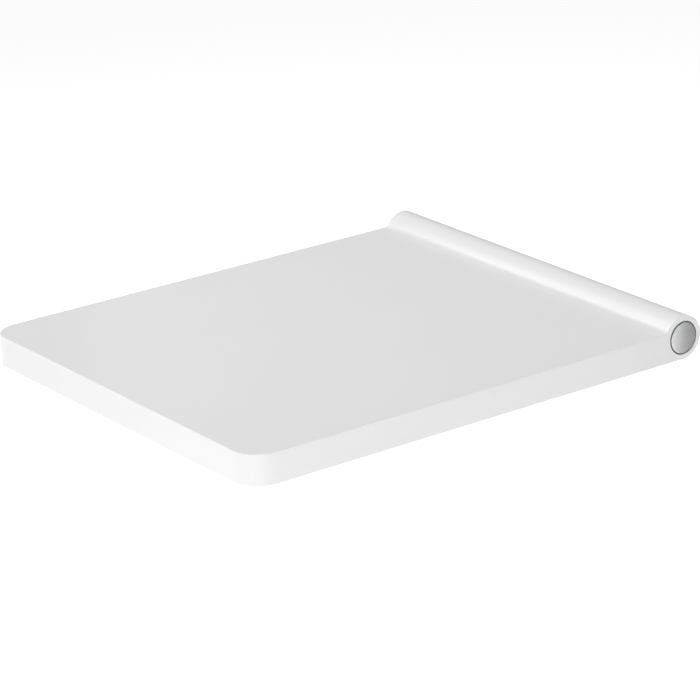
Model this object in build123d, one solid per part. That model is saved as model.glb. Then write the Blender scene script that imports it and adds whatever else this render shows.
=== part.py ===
from build123d import *
import math
import os

# Folding shower seat on a wall bracket. Millimetres.
# X runs along the hinge, Y points into the wall, Z is up. The wall is the plane Y = 0.
# Angles about the hinge are measured from +Y towards +Z, with the seat lowered.

# Seat outline
SEAT_WIDTH = 380.0
HINGE_TO_FRONT = 437.0
SEAT_THICKNESS = 26.6
BARREL_RADIUS = 19.0
HINGE_TO_WALL = 28.0
CORNER_RADIUS = 24.0
HOLLOW_RADIUS = 6.0
EDGE_RADIUS = 0.8

# Shell walls
SIDE_WALL = 4.0
TOP_WALL = 3.6
RIB = 2.6
BORE_RADIUS = 14.45
CAVITY_BACK_Y = -52.0
COVER_THICKNESS = 3.0
COVER_TAB_BACK_Y = -45.0
COVER_FOOT_FRONT_Y = -77.0
GAP = 0.3

# Frame of rectangular tube
ARM_CENTRE_X = 102.5
ARM_WIDTH = 30.0
TUBE_HEIGHT = 15.0
TUBE_WALL = 2.0
ARM_BACK_Y = -56.0
ARM_FRONT_Y = -440.0
BAR_DEPTH = 20.0
BAR_CENTRES_Y = {"rear": -125.0, "front": -390.0}
FRAME_TOP_Z = 3.0

# Straps and their screws
STRAP_CENTRES_Y = {"rear": -152.0, "front": -355.0}
STRAP_LENGTH = 53.0
STRAP_WIDTH = 16.0
STRAP_THICKNESS = 1.8
STRAP_CORNER = 3.0
BOSS_RADIUS = 4.5
BOSS_OFFSET = 21.0
SCREW_RADIUS = 1.95
PILOT_RADIUS = 2.0
THROUGH_RADIUS = 2.2
STRAP_HEAD = {"radius": 3.8, "height": 1.8, "drive": 1.6, "drive_depth": 1.1}
STRAP_SCREW_LENGTH = 13.0
COVER_SINK = {"radius": 4.4, "depth": 2.0}
COVER_HEAD = {"radius": 4.1, "height": 1.9, "drive": 1.4, "drive_depth": 1.0}
COVER_HEAD_RECESS = 0.1
COVER_SCREW_LENGTH = 14.0

# Bracket
PLATE_THICKNESS = 5.0
PLATE_TOP_Z = 4.0
PLATE_CORNER = 6.0
PLATE_HALF_OUTLINE = [(118.0, PLATE_TOP_Z), (118.0, -48.0), (76.0, -72.0)]
WALL_HOLE_RADIUS = 4.25
SCREW_ROWS_Z = (-30.0, -62.0)
INNER_SCREWS_X = 56.0
OUTER_SCREWS_X = 86.0
LUG_INSIDE_X = 100.0
LUG_THICKNESS = 10.0
HUB_RADIUS = 11.0
NECK_BACK_ANGLE = -35.0
BUSH_OUTER_RADIUS = 7.5
BUSH_BORE_RADIUS = 6.05
LUG_FOOT_Z = -56.0
LUG_FOOT_Y = 10.0
LEDGE_Z = -25.3
LEDGE_TIP_Y = -50.0
LEDGE_TIP_POINTS = [(-45.0, -37.0), (-50.0, -34.0)]
LEDGE_TIP_RADIUS = 2.0
PAD_Y = -66.0
PAD_RADIUS = 8.0
PAD_STEM_RADIUS = 2.95
PAD_HOLE_RADIUS = 3.0
PAD_STEM_LENGTH = 7.0
PAD_EDGE_RADIUS = 1.0

# Hinge, from the seat's middle outwards
KNUCKLE_INSIDE_X = 88.5
KNUCKLE_OUTSIDE_X = 116.5
FORK_INSIDE_X = 98.5
FORK_OUTSIDE_X = 111.5
KNUCKLE_RADIUS = 13.9
WEB_INNER_RADIUS = 11.6
WEB_ANGLES = (58.6, 230.0)
SLOT_ANGLES = (-97.0, 60.0)
SLOT_SIDE_GAP = 1.2
TONGUE_FRONT_Y = -112.0
TONGUE_GAP = 0.2
KNUCKLE_SCREWS_Y = (-92.0, -104.0)
KNUCKLE_SCREW_RADIUS = 3.0
KNUCKLE_HEAD = {"radius": 5.2, "height": 2.6, "drive": 2.3, "drive_depth": 1.8}
KNUCKLE_SCREW_LENGTH = 10.0
TAP_GAP = 0.05
WASHER_RADIUS = 10.5
WASHER_THICKNESS = 1.2
WASHER_GAP = 0.1
PIN_RADIUS = 6.0
PIN_THREAD_RADIUS = 5.0
PIN_HEAD_RADIUS = 9.0
PIN_HEAD_LENGTH = 7.0
PIN_SOCKET_RADIUS = 4.6
PIN_SOCKET_DEPTH = 4.0
PIN_TIP_GAP = 1.5
SPRING_STACK = 2.5
SPRING_RADIUS = 10.8
SPRING_BORE_RADIUS = 6.2
SPRING_THICKNESS = 0.9
SPRING_RISE = 0.3

# End caps
CAP_RADIUS = 13.7
CAP_PROUD = 0.5
CAP_THICKNESS = 2.5
CAP_SPIGOT_RADIUS = 6.0
CAP_SPIGOT_LENGTH = 8.0
CARRIER_RADIUS = 14.25
CARRIER_LENGTH = 15.8
CARRIER_WALL = 2.5
CAP_CHAMFER = 0.3

# Worked out from the above
HALF_WIDTH = SEAT_WIDTH / 2
AXIS_Y = -HINGE_TO_WALL
FRONT_Y = AXIS_Y - HINGE_TO_FRONT
BOTTOM_Z = -BARREL_RADIUS
TOP_Z = BOTTOM_Z + SEAT_THICKNESS
CAVITY_TOP_Z = TOP_Z - TOP_WALL
COVER_TOP_Z = BOTTOM_Z + COVER_THICKNESS
FRAME_BOTTOM_Z = FRAME_TOP_Z - TUBE_HEIGHT
LUG_OUTSIDE_X = LUG_INSIDE_X + LUG_THICKNESS
LUG_CENTRE_X = LUG_INSIDE_X + LUG_THICKNESS / 2
RIBS_X = (-150.0, -50.0, 0.0, 50.0, 150.0)
RIBS_Y = (-90.0, -178.0, -250.0, -322.0, -425.0)
COVER_SCREWS = [(x, y) for x in (-170.0, 0.0, 170.0) for y in (-70.0, -214.0, -445.0)]


def block(x0, x1, y0, y1, z0, z1):
    """A box between pairs of limits."""
    return Pos((x0 + x1) / 2, (y0 + y1) / 2, (z0 + z1) / 2) * Box(x1 - x0, y1 - y0, z1 - z0)


def upright(x, y, radius, z0, z1):
    """An upright round rod."""
    return Pos(x, y, (z0 + z1) / 2) * Cylinder(radius, z1 - z0)


def hexagon(x, y, z, head):
    """The hexagon socket in a screw's head, opening downwards at z."""
    return Pos(x, y, z) * extrude(RegularPolygon(head["drive"], 6), head["drive_depth"])


def low_screw(x, y, z, head, radius, length):
    """A low-headed screw pointing up, with the underside of its head at z."""
    bottom = z - head["height"]
    body = upright(x, y, head["radius"], bottom, z) + upright(x, y, radius, z, z + length)
    return body - hexagon(x, y, bottom, head)


def hinge_plane(x):
    """The plane square to the hinge at x, centred on the hinge axis."""
    return Plane(origin=(x, AXIS_Y, 0), x_dir=(0, 1, 0), z_dir=(1, 0, 0))


def hinge_rod(radius, x0, x1):
    """A round rod on the hinge axis."""
    return extrude(hinge_plane(x0) * Circle(radius), x1 - x0)


def hinge_prism(edges, x0, x1):
    """A prism along the hinge from closed edges drawn around the hinge axis."""
    return extrude(hinge_plane(x0) * make_face(edges), x1 - x0)


def hinge_sector(r_in, r_out, angles, x0, x1):
    """Part of a ring about the hinge axis between two angles."""
    start, sweep = angles[0], angles[1] - angles[0]
    outer, inner = (CenterArc((0, 0), r, start, sweep) for r in (r_out, r_in))
    sides = [Line(outer @ t, inner @ t) for t in (0, 1)]
    return hinge_prism([outer, inner, *sides], x0, x1)


def left_of(part):
    """The same piece on the other side of the seat."""
    return part.mirror(Plane.YZ)


def both(part):
    """The piece and its mirror image, for cutting or joining both sides at once."""
    return [part, left_of(part)]


def shell_outside():
    """Seat plate, hollow curve and barrel as one rounded solid."""
    reach = BARREL_RADIUS + HOLLOW_RADIUS
    hollow_z = TOP_Z + HOLLOW_RADIUS
    hollow_y = -math.sqrt(reach**2 - hollow_z**2)
    meet = math.degrees(math.atan2(hollow_z, hollow_y))
    corners = [(hollow_y, TOP_Z), (-HINGE_TO_FRONT, TOP_Z), (-HINGE_TO_FRONT, BOTTOM_Z), (0, BOTTOM_Z)]
    profile = [
        CenterArc((0, 0), BARREL_RADIUS, -90, 90 + meet),
        CenterArc((hollow_y, hollow_z), HOLLOW_RADIUS, -90, meet - 90),
        *(Line(a, b) for a, b in zip(corners, corners[1:])),
    ]
    body = hinge_prism(profile, -HALF_WIDTH, HALF_WIDTH)
    body = fillet(body.edges().filter_by(Axis.Z).group_by(Axis.Y)[0], CORNER_RADIUS)
    inner_lines = [e for e in body.edges().filter_by(Axis.X) if e.center().Y > FRONT_Y + CORNER_RADIUS]
    rim = [e for e in body.edges() if e not in inner_lines and e not in body.edges().filter_by(Axis.Z)]
    return fillet(rim, EDGE_RADIUS)


def plan_block(inset, back_y, z0, z1):
    """A block that follows the seat's plan shape, set in from its edge."""
    body = block(inset - HALF_WIDTH, HALF_WIDTH - inset, FRONT_Y + inset, back_y, z0, z1)
    return fillet(body.edges().filter_by(Axis.Z).group_by(Axis.Y)[0], CORNER_RADIUS - inset)


def frame_room(gap):
    """The space the frame and the straps take up inside the shell."""
    half = ARM_WIDTH / 2 + gap
    x0, x1 = ARM_CENTRE_X - half, ARM_CENTRE_X + half
    arm = block(x0, x1, ARM_FRONT_Y - gap, CAVITY_BACK_Y, BOTTOM_Z, FRAME_TOP_Z)
    room = both(arm)
    for y in BAR_CENTRES_Y.values():
        deep = BAR_DEPTH / 2 + gap
        room.append(block(-ARM_CENTRE_X, ARM_CENTRE_X, y - deep, y + deep, BOTTOM_Z, FRAME_TOP_Z))
    return room


def shell_ribs():
    """Ribs under the seat's top wall, cut away around the frame."""
    z0, z1 = COVER_TOP_Z, CAVITY_TOP_Z
    ribs = [block(x - RIB / 2, x + RIB / 2, FRONT_Y + SIDE_WALL, CAVITY_BACK_Y, z0, z1) for x in RIBS_X]
    reach = HALF_WIDTH - SIDE_WALL
    ribs += [block(-reach, reach, y - RIB / 2, y + RIB / 2, z0, z1) for y in RIBS_Y]
    body = Part() + ribs
    return body - frame_room(GAP)


def boss_points():
    """Where the strap screws stand, on both sides of each arm."""
    sides = [ARM_CENTRE_X - BOSS_OFFSET, ARM_CENTRE_X + BOSS_OFFSET]
    return [(s * x, y) for s in (-1, 1) for x in sides for y in STRAP_CENTRES_Y.values()]


def seat_shell():
    """White moulded seat with its barrel, open below."""
    body = shell_outside()
    body -= plan_block(SIDE_WALL, CAVITY_BACK_Y, BOTTOM_Z, CAVITY_TOP_Z)
    body += shell_ribs()
    body += [upright(x, y, BOSS_RADIUS, FRAME_BOTTOM_Z, CAVITY_TOP_Z) for x, y in boss_points()]
    body += [upright(x, y, BOSS_RADIUS, COVER_TOP_Z, CAVITY_TOP_Z) for x, y in COVER_SCREWS]
    body -= [upright(x, y, PILOT_RADIUS, FRAME_BOTTOM_Z, FRAME_TOP_Z) for x, y in boss_points()]
    body -= [upright(x, y, PILOT_RADIUS, COVER_TOP_Z, FRAME_TOP_Z) for x, y in COVER_SCREWS]
    body -= hinge_rod(BORE_RADIUS, -HALF_WIDTH, HALF_WIDTH)
    slot_ends = (LUG_INSIDE_X - SLOT_SIDE_GAP, LUG_OUTSIDE_X + SLOT_SIDE_GAP)
    slot = hinge_sector(HUB_RADIUS, BARREL_RADIUS + 1, SLOT_ANGLES, *slot_ends)
    x0, x1 = KNUCKLE_INSIDE_X - GAP, KNUCKLE_OUTSIDE_X + GAP
    pocket = block(x0, x1, AXIS_Y - BORE_RADIUS, AXIS_Y + BORE_RADIUS, BOTTOM_Z, 0)
    passage = block(x0, x1, CAVITY_BACK_Y, AXIS_Y, BOTTOM_Z, FRAME_TOP_Z - TUBE_WALL)
    for cut in (slot, pocket, passage):
        body -= both(cut)
    return body


def underside_cover():
    """Flat cover let into the seat's underside, with a foot under each arm over the stop pads."""
    body = plan_block(SIDE_WALL + GAP, CAVITY_BACK_Y - GAP, BOTTOM_Z, COVER_TOP_Z)
    x0, x1 = KNUCKLE_INSIDE_X, KNUCKLE_OUTSIDE_X
    tab = block(x0, x1, CAVITY_BACK_Y - GAP, COVER_TAB_BACK_Y, BOTTOM_Z, COVER_TOP_Z)
    foot = block(x0, x1, COVER_FOOT_FRONT_Y, ARM_BACK_Y, COVER_TOP_Z, FRAME_BOTTOM_Z)
    body += both(tab) + both(foot)
    deep = COVER_SINK["depth"]
    for x, y in COVER_SCREWS:
        body -= upright(x, y, THROUGH_RADIUS, BOTTOM_Z, COVER_TOP_Z)
        body -= Pos(x, y, BOTTOM_Z + deep / 2) * Cone(COVER_SINK["radius"], THROUGH_RADIUS, deep)
    return body


def cover_screws():
    """Countersunk screws that hold the cover."""
    z0, high = BOTTOM_Z + COVER_HEAD_RECESS, COVER_HEAD["height"]
    screws = []
    for x, y in COVER_SCREWS:
        head = Pos(x, y, z0 + high / 2) * Cone(COVER_HEAD["radius"], SCREW_RADIUS, high)
        shank = upright(x, y, SCREW_RADIUS, z0 + high, z0 + COVER_SCREW_LENGTH)
        screws.append(head + shank - hexagon(x, y, z0, COVER_HEAD))
    return Compound(children=screws)


def rounded_tube(width, height, length):
    """Rectangular tube along +Y from the origin, with rounded corners."""
    outer = RectangleRounded(width, height, TUBE_WALL)
    inner = RectangleRounded(width - 2 * TUBE_WALL, height - 2 * TUBE_WALL, TUBE_WALL / 4)
    return extrude(Plane.XZ * (outer - inner), -length)


def frame_arm():
    """Right frame arm, with holes for the knuckle screws in its lower wall."""
    tube = rounded_tube(ARM_WIDTH, TUBE_HEIGHT, ARM_BACK_Y - ARM_FRONT_Y)
    body = Pos(ARM_CENTRE_X, ARM_FRONT_Y, FRAME_TOP_Z - TUBE_HEIGHT / 2) * tube
    for y in KNUCKLE_SCREWS_Y:
        hole = KNUCKLE_SCREW_RADIUS + TONGUE_GAP
        body -= upright(ARM_CENTRE_X, y, hole, FRAME_BOTTOM_Z, FRAME_BOTTOM_Z + TUBE_WALL)
    return body


def frame_bar(y):
    """Tube welded across between the two arms."""
    length = 2 * (ARM_CENTRE_X - ARM_WIDTH / 2)
    tube = Rot(0, 0, -90) * rounded_tube(BAR_DEPTH, TUBE_HEIGHT, length)
    return Pos(-length / 2, y, FRAME_TOP_Z - TUBE_HEIGHT / 2) * tube


def strap(y):
    """Flat strap under the right arm, screwed to a boss on each side."""
    z0, z1 = FRAME_BOTTOM_Z - STRAP_THICKNESS, FRAME_BOTTOM_Z
    half_x, half_y = STRAP_LENGTH / 2, STRAP_WIDTH / 2
    body = block(ARM_CENTRE_X - half_x, ARM_CENTRE_X + half_x, y - half_y, y + half_y, z0, z1)
    body = fillet(body.edges().filter_by(Axis.Z), STRAP_CORNER)
    for side in (-1, 1):
        body -= upright(ARM_CENTRE_X + side * BOSS_OFFSET, y, THROUGH_RADIUS, z0, z1)
    return body


def strap_screws():
    """Low-headed screws through the straps into the bosses."""
    z = FRAME_BOTTOM_Z - STRAP_THICKNESS
    size = (STRAP_HEAD, SCREW_RADIUS, STRAP_SCREW_LENGTH)
    return Compound(children=[low_screw(x, y, z, *size) for x, y in boss_points()])


def knuckle():
    """Right hinge knuckle: a fork round the bracket lug and a tongue inside the frame arm."""
    body = hinge_rod(KNUCKLE_RADIUS, KNUCKLE_INSIDE_X, FORK_INSIDE_X)
    body += hinge_rod(KNUCKLE_RADIUS, FORK_OUTSIDE_X, KNUCKLE_OUTSIDE_X)
    body += hinge_sector(WEB_INNER_RADIUS, KNUCKLE_RADIUS, WEB_ANGLES, FORK_INSIDE_X, FORK_OUTSIDE_X)
    inset = TUBE_WALL + TONGUE_GAP
    half = ARM_WIDTH / 2 - inset
    z0, z1 = FRAME_BOTTOM_Z + inset, FRAME_TOP_Z - inset
    x0, x1 = ARM_CENTRE_X - half, ARM_CENTRE_X + half
    tongue = block(x0, x1, TONGUE_FRONT_Y, AXIS_Y - BUSH_OUTER_RADIUS, z0, z1)
    tongue -= hinge_rod(WEB_INNER_RADIUS, FORK_INSIDE_X, FORK_OUTSIDE_X)
    body += tongue
    body -= hinge_rod(PIN_THREAD_RADIUS + TAP_GAP, KNUCKLE_INSIDE_X, FORK_INSIDE_X)
    body -= hinge_rod(PIN_RADIUS + TAP_GAP, FORK_OUTSIDE_X, KNUCKLE_OUTSIDE_X)
    for y in KNUCKLE_SCREWS_Y:
        body -= upright(ARM_CENTRE_X, y, KNUCKLE_SCREW_RADIUS + TAP_GAP, z0, z1)
    return body


def knuckle_screws():
    """Screws through the arms' lower walls into the knuckle tongues."""
    size = (KNUCKLE_HEAD, KNUCKLE_SCREW_RADIUS, KNUCKLE_SCREW_LENGTH)
    places = [(side * ARM_CENTRE_X, y) for side in (-1, 1) for y in KNUCKLE_SCREWS_Y]
    return Compound(children=[low_screw(x, y, FRAME_BOTTOM_Z, *size) for x, y in places])


def hinge_pin():
    """Right hinge pin: shouldered screw with a hexagon socket, its head towards the barrel's end."""
    head_x = KNUCKLE_OUTSIDE_X + SPRING_STACK
    end_x = head_x + PIN_HEAD_LENGTH
    body = hinge_rod(PIN_RADIUS, FORK_INSIDE_X, head_x) + hinge_rod(PIN_HEAD_RADIUS, head_x, end_x)
    body += hinge_rod(PIN_THREAD_RADIUS, KNUCKLE_INSIDE_X + PIN_TIP_GAP, FORK_INSIDE_X)
    socket = hinge_plane(end_x - PIN_SOCKET_DEPTH) * RegularPolygon(PIN_SOCKET_RADIUS, 6)
    return body - extrude(socket, PIN_SOCKET_DEPTH)


def coned_washer(x, lean):
    """A coned washer whose rim starts at x and whose bore stands towards +X by lean."""
    t, r0, r1 = SPRING_THICKNESS, SPRING_BORE_RADIUS, SPRING_RADIUS
    corners = [(x + lean, r0), (x, r1), (x + t, r1), (x + t + lean, r0)]
    face = make_face(Polyline(*[(along, AXIS_Y + out) for along, out in corners], close=True))
    return revolve(face, Axis((0, AXIS_Y, 0), (1, 0, 0)))


def sprung_washers():
    """Right pair of coned washers, back to back, between the pin's head and the knuckle."""
    last = KNUCKLE_OUTSIDE_X + SPRING_STACK - SPRING_THICKNESS
    return Part() + [coned_washer(KNUCKLE_OUTSIDE_X, SPRING_RISE), coned_washer(last, -SPRING_RISE)]


def side_washer(x0):
    """Plain washer between the lug and one side of the knuckle's fork."""
    x1 = x0 + WASHER_THICKNESS
    return hinge_rod(WASHER_RADIUS, x0, x1) - hinge_rod(PIN_RADIUS + WASHER_GAP, x0, x1)


def cap_carrier():
    """Right plug in the barrel's bore that the end cap snaps into."""
    x1 = HALF_WIDTH + CAP_PROUD - CAP_THICKNESS - TONGUE_GAP
    x0 = x1 - CARRIER_LENGTH
    body = hinge_rod(CARRIER_RADIUS, x0, x1)
    body -= hinge_rod(CARRIER_RADIUS - CARRIER_WALL, x0, x1 - CARRIER_WALL)
    body += hinge_rod(CAP_SPIGOT_RADIUS + CARRIER_WALL, x1 - CAP_SPIGOT_LENGTH, x1 - CARRIER_WALL)
    return body - hinge_rod(CAP_SPIGOT_RADIUS + TAP_GAP, x0, x1)


def end_cap():
    """Right end cap: round metal disc with a spigot behind."""
    x1 = HALF_WIDTH + CAP_PROUD
    x0 = x1 - CAP_THICKNESS
    disc = hinge_rod(CAP_RADIUS, x0, x1)
    disc = chamfer(disc.edges().group_by(Axis.X)[-1], CAP_CHAMFER)
    return disc + hinge_rod(CAP_SPIGOT_RADIUS, x0 - CAP_SPIGOT_LENGTH, x0)


def wall_plate():
    """Steel plate that is screwed to the wall, narrower towards its foot."""
    points = PLATE_HALF_OUTLINE + [(-x, z) for x, z in reversed(PLATE_HALF_OUTLINE)]
    body = extrude(Plane.XZ * make_face(Polyline(*points, close=True)), PLATE_THICKNESS)
    body = fillet(body.edges().filter_by(Axis.Y), PLATE_CORNER)
    places = [(s * INNER_SCREWS_X, z) for s in (-1, 1) for z in SCREW_ROWS_Z]
    places += [(s * OUTER_SCREWS_X, SCREW_ROWS_Z[0]) for s in (-1, 1)]
    for x, z in places:
        body -= extrude(Plane.XZ * (Pos(x, z) * Circle(WALL_HOLE_RADIUS)), PLATE_THICKNESS)
    return body


def bracket_lug():
    """Right lug: hub for the hinge pin, neck to the wall plate and a ledge for the stop pad."""
    face_y = HINGE_TO_WALL - PLATE_THICKNESS
    neck_z = face_y * math.tan(math.radians(NECK_BACK_ANGLE))
    neck = [(0, 0), (face_y, neck_z), (face_y, LUG_FOOT_Z), (LUG_FOOT_Y, LUG_FOOT_Z)]
    ledge = [*LEDGE_TIP_POINTS, (LEDGE_TIP_Y, LEDGE_Z), (0, LEDGE_Z)]
    body = hinge_prism(Polyline(*neck, *ledge, close=True).edges(), LUG_INSIDE_X, LUG_OUTSIDE_X)
    body = fillet(body.edges().filter_by(Axis.X).group_by(Axis.Y)[0], LEDGE_TIP_RADIUS)
    body += hinge_rod(HUB_RADIUS, LUG_INSIDE_X, LUG_OUTSIDE_X)
    body -= hinge_rod(BUSH_OUTER_RADIUS, LUG_INSIDE_X, LUG_OUTSIDE_X)
    return body - upright(LUG_CENTRE_X, PAD_Y, PAD_HOLE_RADIUS, LEDGE_Z - PAD_STEM_LENGTH, LEDGE_Z)


def lug_bush():
    """Plain bush in the right lug."""
    ends = (LUG_INSIDE_X, LUG_OUTSIDE_X)
    return hinge_rod(BUSH_OUTER_RADIUS, *ends) - hinge_rod(BUSH_BORE_RADIUS, *ends)


def stop_pad():
    """Right stop pad: a domed-edge disc on a stem pushed into the ledge."""
    head = upright(LUG_CENTRE_X, PAD_Y, PAD_RADIUS, LEDGE_Z, BOTTOM_Z - GAP)
    head = fillet(head.edges().group_by(Axis.Z)[-1], PAD_EDGE_RADIUS)
    return head + upright(LUG_CENTRE_X, PAD_Y, PAD_STEM_RADIUS, LEDGE_Z - PAD_STEM_LENGTH, LEDGE_Z)


def all_parts():
    """Every piece by name."""
    parts = {
        "seat_shell": seat_shell(),
        "underside_cover": underside_cover(),
        "cover_screws": cover_screws(),
        "strap_screws": strap_screws(),
        "knuckle_screws": knuckle_screws(),
        "wall_plate": wall_plate(),
    }
    for name, y in BAR_CENTRES_Y.items():
        parts[f"frame_bar_{name}"] = frame_bar(y)
    right = {
        "frame_arm": frame_arm(),
        "hinge_knuckle": knuckle(),
        "hinge_pin": hinge_pin(),
        "sprung_washers": sprung_washers(),
        "inner_washer": side_washer(FORK_INSIDE_X),
        "outer_washer": side_washer(FORK_OUTSIDE_X - WASHER_THICKNESS),
        "cap_carrier": cap_carrier(),
        "end_cap": end_cap(),
        "bracket_lug": bracket_lug(),
        "lug_bush": lug_bush(),
        "stop_pad": stop_pad(),
    }
    for name, y in STRAP_CENTRES_Y.items():
        right[f"frame_strap_{name}"] = strap(y)
    for name, part in right.items():
        parts[f"{name}_right"] = part
        parts[f"{name}_left"] = left_of(part)
    return parts


os.makedirs("parts", exist_ok=True)
for name, part in all_parts().items():
    export_step(part, f"parts/{name}.step")
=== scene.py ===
"""Looks of a folding shower seat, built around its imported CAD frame."""

import logging
import math
from dataclasses import dataclass, field
from enum import Enum
from typing import Iterable, Sequence

import bmesh
import bpy
from mathutils import Matrix, Vector


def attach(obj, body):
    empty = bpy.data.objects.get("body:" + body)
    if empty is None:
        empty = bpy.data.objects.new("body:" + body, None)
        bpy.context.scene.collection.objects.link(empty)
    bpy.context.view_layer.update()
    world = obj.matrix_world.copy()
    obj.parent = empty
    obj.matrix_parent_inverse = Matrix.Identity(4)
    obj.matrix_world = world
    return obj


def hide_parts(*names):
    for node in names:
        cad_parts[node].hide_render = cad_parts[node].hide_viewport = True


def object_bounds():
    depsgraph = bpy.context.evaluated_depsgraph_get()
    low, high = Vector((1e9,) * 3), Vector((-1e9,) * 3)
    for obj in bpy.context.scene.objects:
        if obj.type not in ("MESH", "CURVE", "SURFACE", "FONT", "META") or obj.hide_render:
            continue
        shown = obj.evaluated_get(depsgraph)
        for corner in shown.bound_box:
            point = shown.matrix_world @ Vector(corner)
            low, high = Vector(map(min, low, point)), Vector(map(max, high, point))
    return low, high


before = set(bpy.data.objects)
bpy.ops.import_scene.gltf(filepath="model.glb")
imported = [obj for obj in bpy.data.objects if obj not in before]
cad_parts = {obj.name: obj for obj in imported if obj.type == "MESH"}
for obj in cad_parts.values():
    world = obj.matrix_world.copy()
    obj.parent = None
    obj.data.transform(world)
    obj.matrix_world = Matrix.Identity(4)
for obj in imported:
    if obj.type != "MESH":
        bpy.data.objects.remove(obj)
CAD_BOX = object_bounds()

LOG = logging.getLogger("shower_seat")
MM = 0.001
FULL_TURN = 2 * math.pi
HINGE_Y = -28.0  # millimetres: the hinge axis is this far in front of the wall, level with Z = 0
REACH = 1.0  # millimetres that a shape goes past what it cuts, or into what it joins
MERGE = 1e-4  # millimetres under which two vertices are one
HAIR = 0.01  # millimetres under which two levels are the same
STRAIGHT = 0.999  # the cosine above which an edge counts as running along an axis
SHARP_DEGREES, SHADE_DEGREES = 30.0, 35.0  # edges above these are rounded, and shaded as sharp

SEAT, BRACKET = "seat", "wall_bracket"

Pair = tuple[float, float]
Outline = Sequence[Pair]
Point = tuple[float, float, float]
Colour = tuple[float, float, float]
Vert, Edge = bmesh.types.BMVert, bmesh.types.BMEdge
Socket, Piece = bpy.types.NodeSocket, bpy.types.Object


# ---------------------------------------------------------------- meshes


class Along(Enum):
    """An axis: X along the wall, Y towards it and Z up."""

    X = Vector((1, 0, 0))
    Y = Vector((0, 1, 0))
    Z = Vector((0, 0, 1))


class Side(Enum):
    """A side of the seat: the right is towards +X."""

    LEFT = "left"
    RIGHT = "right"


class Way(Enum):
    """What is done with one shape to another."""

    CUT = "DIFFERENCE"
    JOIN = "UNION"


def verts_in(made: Iterable) -> list[Vert]:
    """The vertices among the parts of a mesh."""
    return [part for part in made if isinstance(part, Vert)]


def put(name: str, data: bpy.types.ID) -> Piece:
    """Makes an object that holds some data, and puts it in the scene.

    Args:
        name: Its name.
        data: What it holds.

    Returns:
        The object.
    """
    made = bpy.data.objects.new(name, data)
    bpy.context.scene.collection.objects.link(made)
    return made


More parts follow.
